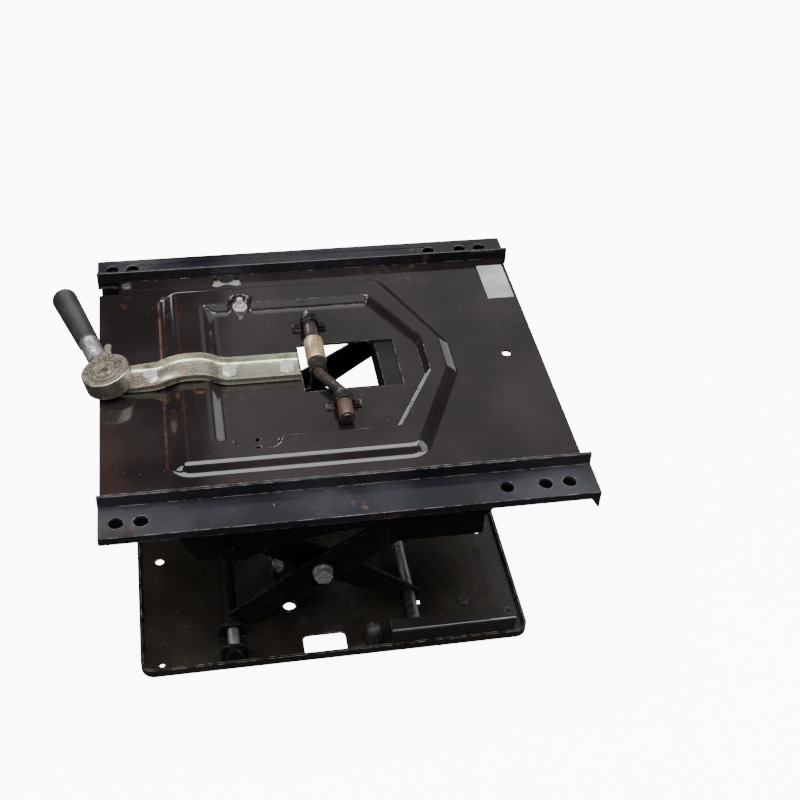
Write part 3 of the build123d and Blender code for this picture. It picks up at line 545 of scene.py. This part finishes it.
# Springs and spindle ---------------------------------------------------------
def build_springs():
    """Two coils that run between the upper frame and the hanger, with an eye on the rocker."""
    front = Vector((-58, 0, 164))
    rear = Vector((79, 0, 138))
    along = (rear - front).normalized()
    up = Vector((0, 1, 0)).cross(along)
    length = (rear - front).length
    end_gap, turns, coil_radius, eye_radius = 24.0, 21, 7.4, 6.2
    steps = 20 * turns
    coil_front = front + along * end_gap
    coil_rear = front + along * (length - end_gap)
    for label, y in (("near", -29.5), ("far", 10.5)):
        side = Vector((0, y, 0))
        path = []
        for i in range(steps + 1):
            t = i / steps
            a = 2 * math.pi * turns * t
            radius = coil_radius * min(1.0, 0.35 + 4.5 * t, 0.35 + 4.5 * (1 - t))
            turn = up * math.cos(a) + Vector((0, math.sin(a), 0))
            path.append(coil_front.lerp(coil_rear, t) + side + turn * radius)
        coil = sweep_tube(f"spring_coil_{label}", path, 1.55, SPRING, None, sides=8)
        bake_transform(coil)
        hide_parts(f"tension_spring_{label}")
        loop = [front + along * 27 + side, front + along * 15 + side]
        for i in range(15):
            a = -0.35 + 5.0 * i / 14
            loop.append(front + side + (along * math.cos(a) + up * math.sin(a)) * eye_radius)
        sweep_tube(f"spring_eye_{label}", loop, 1.5, SPRING, "rocker", sides=8)


def build_spindle():
    """Threaded rod, collar and drive hub with its hex socket, turned as one piece."""
    centre = Vector((SPINDLE_X, SPINDLE_Y, LEVEL + 3))
    axis = Vector((-math.sin(SPINDLE_TILT), 0, math.cos(SPINDLE_TILT)))
    x_dir = Vector((math.cos(SPINDLE_TILT), 0, math.sin(SPINDLE_TILT)))
    y_dir = Vector((0, 1, 0))
    sides, pitch, low, high = 30, 3.0, -74.8, -2.4
    rings = []
    rows = int((high - low) / (pitch / 8))
    for i in range(rows + 1):
        h = low + (high - low) * i / rows
        taper = 0.85 + 0.15 * min(1.0, (h - low) / 2.0)
        ring = []
        for k in range(sides):
            depth = abs((h / pitch - k / sides) % 1.0 - 0.5) * 2.0
            ring.append((5.95 - 1.25 * depth) * taper)
        rings.append((h, ring))
    collar = [(-2.0, 5.9), (2.2, 5.9), (2.3, 7.7), (3.1, 7.7), (3.2, 5.9)]
    hub = [(14.6, 5.9), (14.7, 6.9), (21.2, 6.9), (21.6, 6.5)]
    rings += [(h, [radius] * sides) for h, radius in collar + hub]
    hexagon = [3.5 / math.cos(math.radians((k * 12) % 60 - 30)) for k in range(sides)]
    rings += [(21.6, hexagon), (17.4, hexagon)]
    verts = []
    for h, ring in rings:
        for k, radius in enumerate(ring):
            a = 2 * math.pi * k / sides
            around = x_dir * math.cos(a) + y_dir * math.sin(a)
            verts.append((centre + axis * h + around * radius) * MM)
    faces = grid_faces(len(rings), sides, True)
    faces.append(tuple(reversed(range(sides))))
    faces.append(tuple(range((len(rings) - 1) * sides, len(rings) * sides)))
    spindle = piece("threaded_spindle", verts, faces, DULL, "screw", ("spindle",))
    spindle.data.set_sharp_from_angle(angle=math.radians(38))


# Dress the CAD nodes ---------------------------------------------------------
FINISH = {
    "rail_near": (RAIL, 0.7),
    "rail_far": (RAIL, 0.7),
    "base_tray": (TRAY, 0.6),
    "lower_guide_near": (GUIDE, 0.7),
    "lower_guide_far": (GUIDE, 0.7),
    "lower_bracket_near": (FRAME, 0.5),
    "lower_bracket_far": (FRAME, 0.5),
    "strap_bolts": (ZINC, 0.6),
    "floor_fasteners": (ZINC, 0.4),
    "centre_bolts": (ZINC, 0.6),
    "upper_axle_nuts": (FRAME, 0.5),
    "lower_axle_nuts": (FRAME, 0.5),
    "ratchet_head": (DULL, 0.5),
    "handle_sleeve": (SLEEVE, 0.5),
    "detent_button": (ZINC, 0.3),
    "pawl_selector": (DULL, 0.4),
    "grip": (GRIP, 0.6),
    "spindle": (DULL, 0.3),
    "ratchet_wheel": (STEEL, 0.2),
    "lower_pivot_axle": (STEEL, 0.5),
    "upper_pivot_axle": (STEEL, 0.5),
    "upper_roller_axle": (STEEL, 0.5),
    "lower_roller_axle": (STEEL, 0.5),
    "cross_rod": (ROD, 0.5),
    "rod_sleeve": (RUSTY, 0.4),
    "brass_bush": (BRASS, 0.5),
    "rocker_bearing": (BRONZE, 0.4),
    "rod_clips": (FRAME, 0.3),
    "pan_studs": (ZINC, 0.3),
    "track_buffers": (RUBBER, 0.3),
    "label_plate": (LABEL, 0.1),
    "damper_rod": (STEEL, 0.3),
    "damper_pin_a": (ZINC, 0.3),
    "damper_pin_b": (ZINC, 0.3),
    "spring_pin": (ZINC, 0.3),
    "spring_hooks": (SPRING, 0.4),
    "trunnion_nut": (STEEL, 0.3),
}


def dress_nodes():
    """Gives every CAD node its material; the tray keeps its imported edges."""
    for name, node in NODES.items():
        material, width = FINISH.get(name, (FRAME, 0.5))
        if "_roller_near" in name or "_roller_far" in name:
            material = ROLLER
        dress(node, material)
        if name == "base_tray":
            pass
        else:
            soften(node, width)
        if name in ("pan_studs", "floor_fasteners"):
            node.data.materials.append(RUBBER)
            for face in node.data.polygons:
                face.material_index = int(face.center.x < -0.15 or face.center.x > 0.125)


# Camera, floor and light -----------------------------------------------------
def build_camera():
    """Long lens above the near left, looking down on the pan."""
    data = bpy.data.cameras.new("camera")
    data.lens = 57.43
    data.sensor_width = 36.0
    data.shift_y = 0.0114
    data.dof.use_dof = False
    camera = bpy.data.objects.new("camera", data)
    right = Vector((0.9839, -0.1730, 0.0451))
    up = Vector((0.0807, 0.6551, 0.7512))
    back = -Vector((0.1595, 0.7355, -0.6585))
    camera.matrix_world = Matrix((right, up, back)).transposed().to_4x4()
    camera.location = (-0.1218, -0.9596, 1.0092)
    bpy.context.scene.collection.objects.link(camera)
    bpy.context.scene.camera = camera


def area(name, location, target, size, power, color=(1, 1, 1), size_y=None):
    """Rectangular light aimed at a point, in metres and watts."""
    light = bpy.data.lights.new(name, "AREA")
    light.shape = "RECTANGLE"
    light.size = size
    light.size_y = size_y or size
    light.energy = power
    light.color = color
    obj = bpy.data.objects.new(name, light)
    obj.location = location
    obj.rotation_euler = (Vector(target) - Vector(location)).to_track_quat("-Z", "Y").to_euler()
    bpy.context.scene.collection.objects.link(obj)


def build_studio():
    """Pale floor and wall that only the camera sees, with soft boxes and reflector cards."""
    g = Graph("floor_white")
    tone = g.mix(g.ramp(g.noise(1.5), 0.3, 0.7), (0.93, 0.93, 0.93), (0.95, 0.95, 0.95))
    floor_material = g.finish(tone, 0.9, specular=0.1)
    shader = next(n for n in g.tree.nodes if n.type == "BSDF_PRINCIPLED")
    shader.inputs["Emission Color"].default_value = (1, 1, 1, 1)
    shader.inputs["Emission Strength"].default_value = 9.0
    half, sides, reach, tall = 9, 64, 8.8, 9.0
    corners = [(-half, -half, 0), (half, -half, 0), (half, half, 0), (-half, half, 0)]
    floor = piece("floor", corners, [(0, 1, 2, 3)], floor_material, None)
    floor.location.z = -0.0004
    angles = [2 * math.pi * i / sides for i in range(sides)]
    wall = [(reach * math.cos(a), reach * math.sin(a), z) for z in (-0.01, tall) for a in angles]
    backdrop = piece("backdrop", wall, grid_faces(2, sides, True), floor_material, None)
    for stage in (floor, backdrop):
        stage.visible_glossy = False
        stage.visible_diffuse = False
    backdrop.visible_shadow = False
    world = bpy.data.worlds.new("studio")
    world.use_nodes = True
    world.node_tree.nodes["Background"].inputs["Color"].default_value = (0.9, 0.93, 1.0, 1)
    world.node_tree.nodes["Background"].inputs["Strength"].default_value = 0.055
    bpy.context.scene.world = world
    area("top_box", (0.15, -0.15, 2.3), (0.15, -0.1, 0.1), 3.3, 165, size_y=2.1)
    area("far_card", (0.62, 2.4, 2.2), (0.0, 0.0, 0.2), 1.3, 4.0, size_y=2.4)
    area("warm_card", (-0.68, 2.45, 2.1), (-0.1, 0.0, 0.2), 0.5, 1.4, (1.0, 0.32, 0.28), 2.2)
    area("left_box", (-2.2, -0.6, 1.5), (0, 0, 0.1), 1.2, 26, (1.0, 0.97, 0.93))
    area("right_box", (2.3, -0.15, 1.35), (0, 0, 0.1), 1.3, 22, (0.93, 0.96, 1.0), 1.7)
    area("rear_card", (1.9, 2.0, 0.75), (0, 0, 0.15), 0.7, 3.0, (0.93, 0.96, 1.0), 0.9)
    area("rear_fill", (-0.7, 2.3, 0.75), (0, 0, 0.1), 1.3, 14, size_y=0.7)
    area("front_fill", (-0.3, -2.4, 1.0), (0, 0, 0.05), 1.6, 10)


dress_nodes()
build_pan()
build_strap()
build_springs()
build_spindle()
build_camera()
build_studio()
